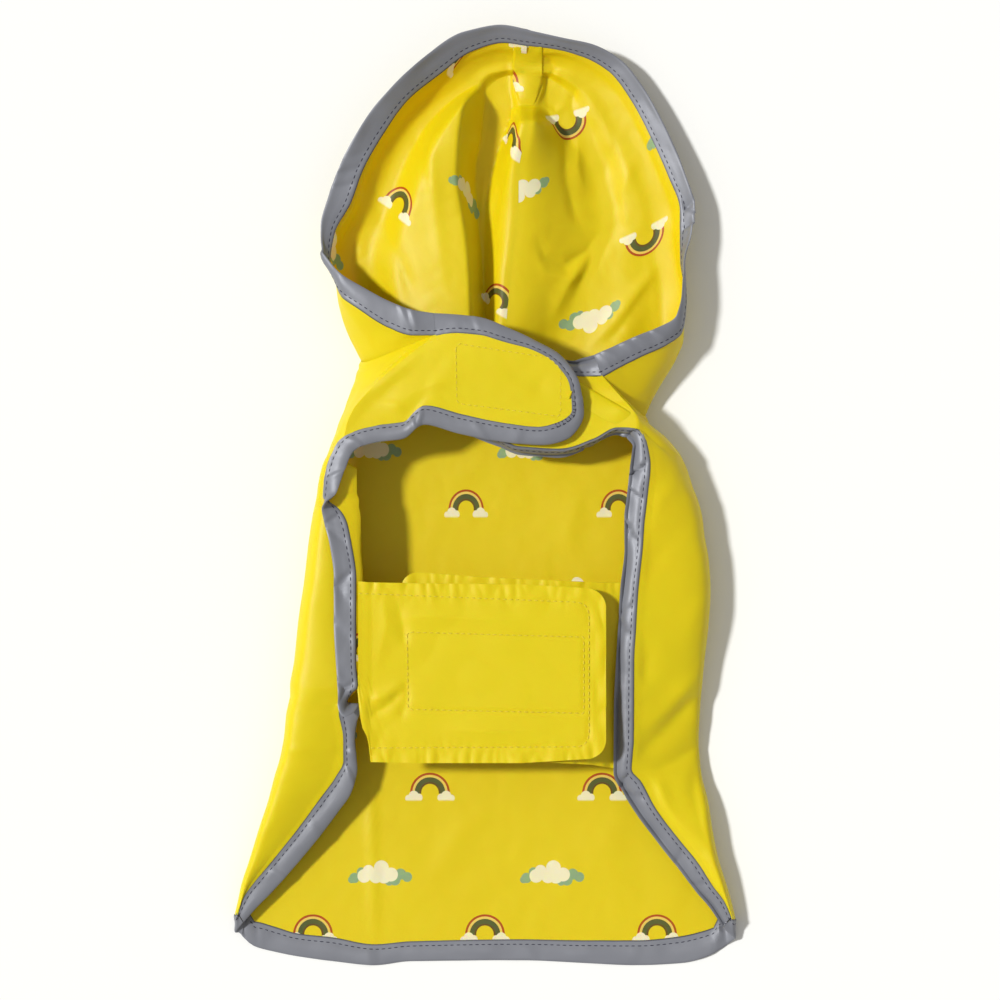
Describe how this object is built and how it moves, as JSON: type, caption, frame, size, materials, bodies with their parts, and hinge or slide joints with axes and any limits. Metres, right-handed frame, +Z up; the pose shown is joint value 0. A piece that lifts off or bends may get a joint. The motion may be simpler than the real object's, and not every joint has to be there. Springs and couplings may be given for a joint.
{
  "type": "dog raincoat",
  "caption": "Hooded dog raincoat of thin coated cloth bound with reflective tape, laid flat on its back with the chest flaps and belly straps closed on top.",
  "frame": {"origin": "on the surface the raincoat rests on, under the middle of its overall box", "axes": "+Y from the hem to the hood, +X towards the side whose chest flap lies underneath, +Z up from the surface"},
  "size_m": [0.2509, 0.468, 0.0401],
  "materials": {
    "coated_cloth": "satin waterproof coating",
    "reflective_tape": "grey reflective weave",
    "hook_and_loop": "matt pile"
  },
  "bodies": {
    "root": {"body_panel": "coated_cloth", "hood_left": "coated_cloth", "hood_right": "coated_cloth", "belly_strap_left": "coated_cloth", "belly_strap_right": "coated_cloth", "hood_binding": "reflective_tape", "left_edge_binding": "reflective_tape", "right_edge_binding": "reflective_tape", "hem_binding": "reflective_tape", "chest_hook_patch": "hook_and_loop", "chest_loop_patch": "hook_and_loop", "belly_hook_patch": "hook_and_loop", "belly_loop_patch": "hook_and_loop"}
  },
  "joints": []
}
